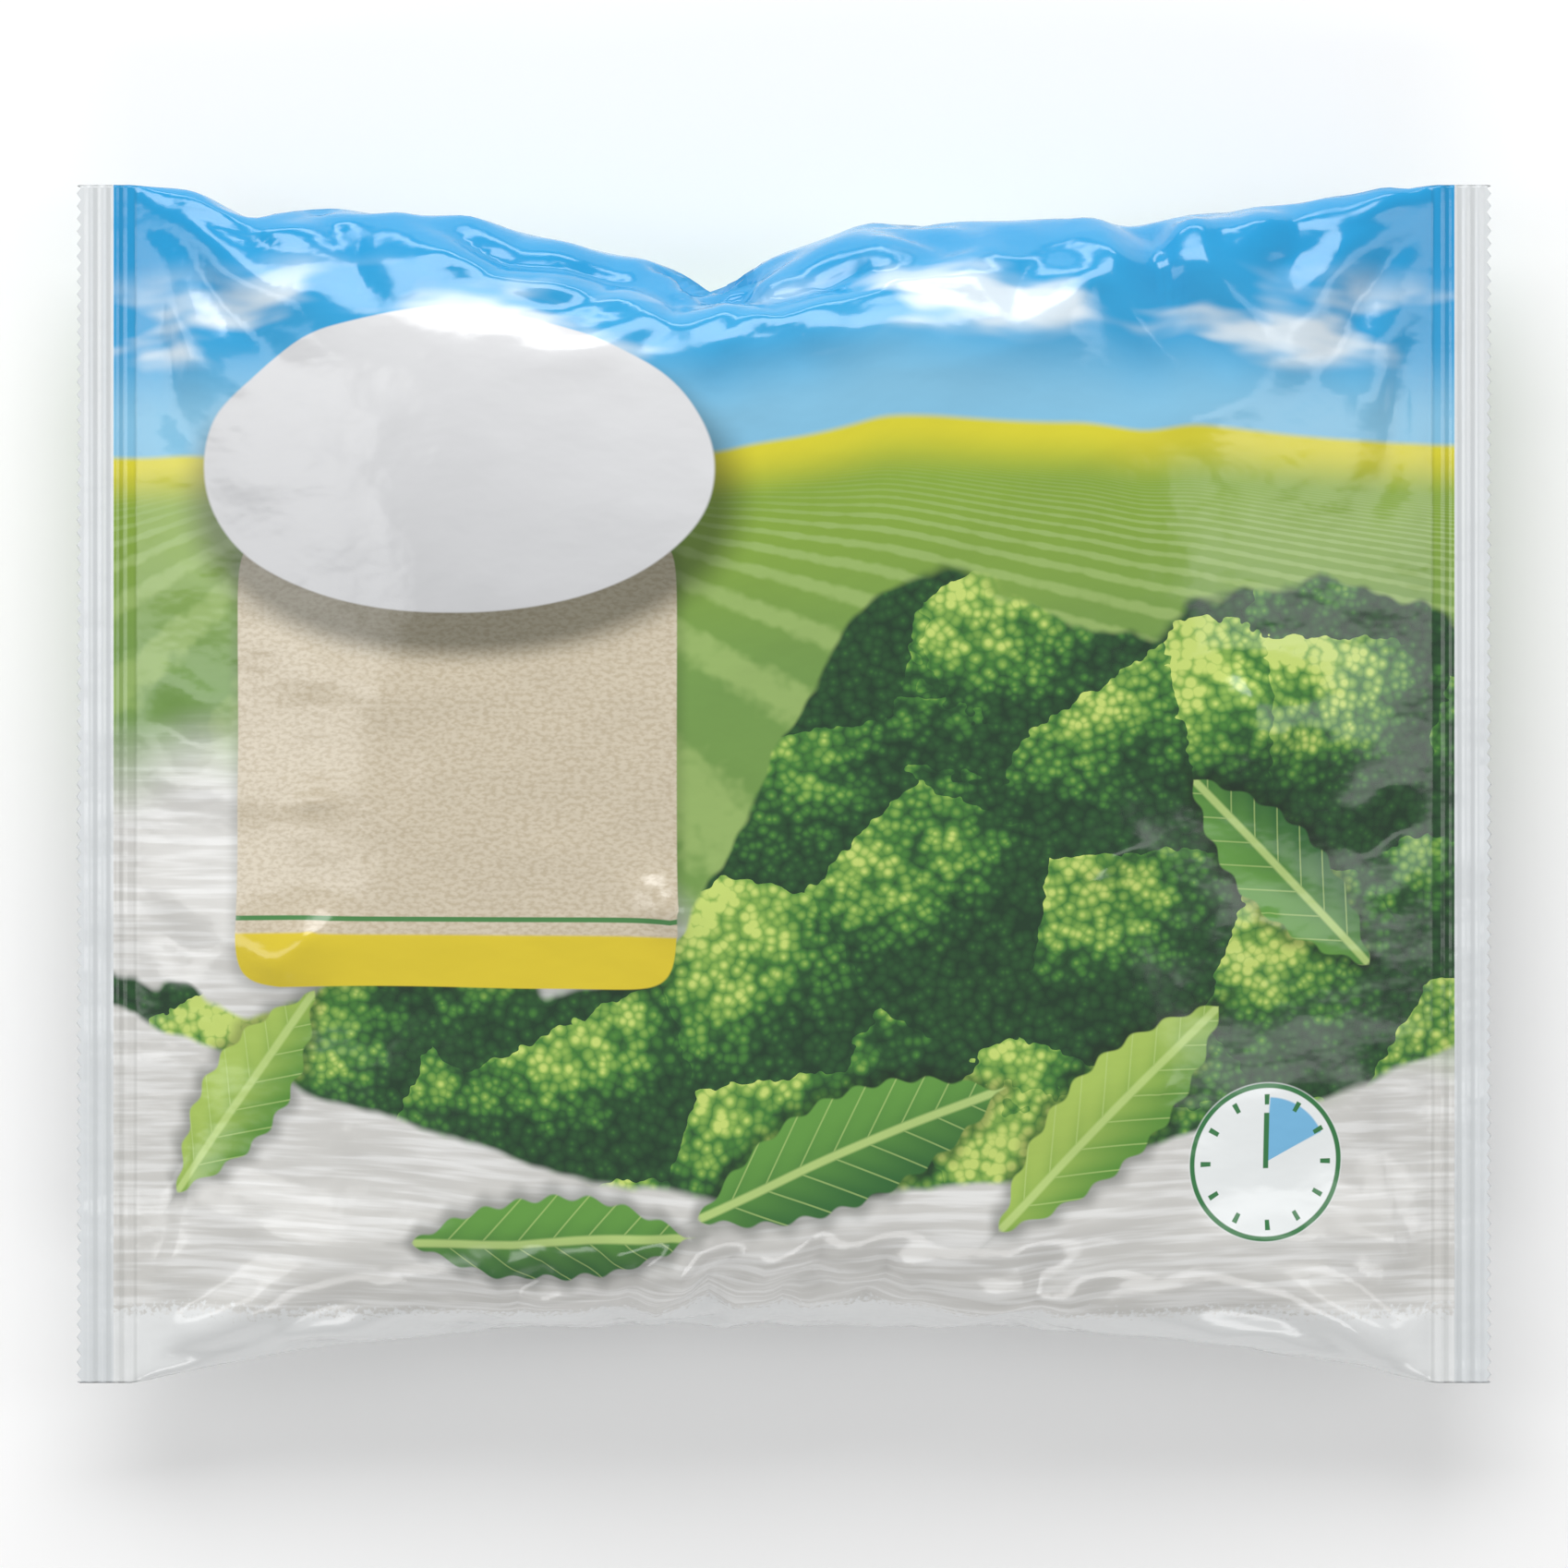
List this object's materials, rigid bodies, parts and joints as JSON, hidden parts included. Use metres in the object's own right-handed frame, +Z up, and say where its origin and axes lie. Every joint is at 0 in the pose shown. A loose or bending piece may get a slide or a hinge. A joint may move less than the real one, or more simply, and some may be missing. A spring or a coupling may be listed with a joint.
{
  "type": "frozen vegetable pillow bag",
  "caption": "Sealed printed-film pillow bag of frozen broccoli florets, with a fin seal along its back and crimped, zigzag-cut end seals, lying on its back.",
  "frame": {"origin": "centre of the bag's outline, on the surface that its back lies on", "axes": "+X from one end seal to the other, +Y across the bag towards the upper edge of its printed front, +Z up out of the printed front"},
  "size_m": [0.235, 0.2, 0.0504],
  "materials": {
    "printed_film": "glossy printed packaging film",
    "broccoli": "frosted frozen vegetable"
  },
  "bodies": {
    "root": {"film": "printed_film", "floret_01": "broccoli", "floret_02": "broccoli", "floret_03": "broccoli", "floret_04": "broccoli", "floret_05": "broccoli", "floret_06": "broccoli", "floret_07": "broccoli", "floret_08": "broccoli", "floret_09": "broccoli", "floret_10": "broccoli", "floret_11": "broccoli", "floret_12": "broccoli", "floret_13": "broccoli", "floret_14": "broccoli", "floret_15": "broccoli", "floret_16": "broccoli", "floret_17": "broccoli", "floret_18": "broccoli", "floret_19": "broccoli", "floret_20": "broccoli", "floret_21": "broccoli", "floret_22": "broccoli", "floret_23": "broccoli", "floret_24": "broccoli", "floret_25": "broccoli", "floret_26": "broccoli"}
  },
  "joints": []
}
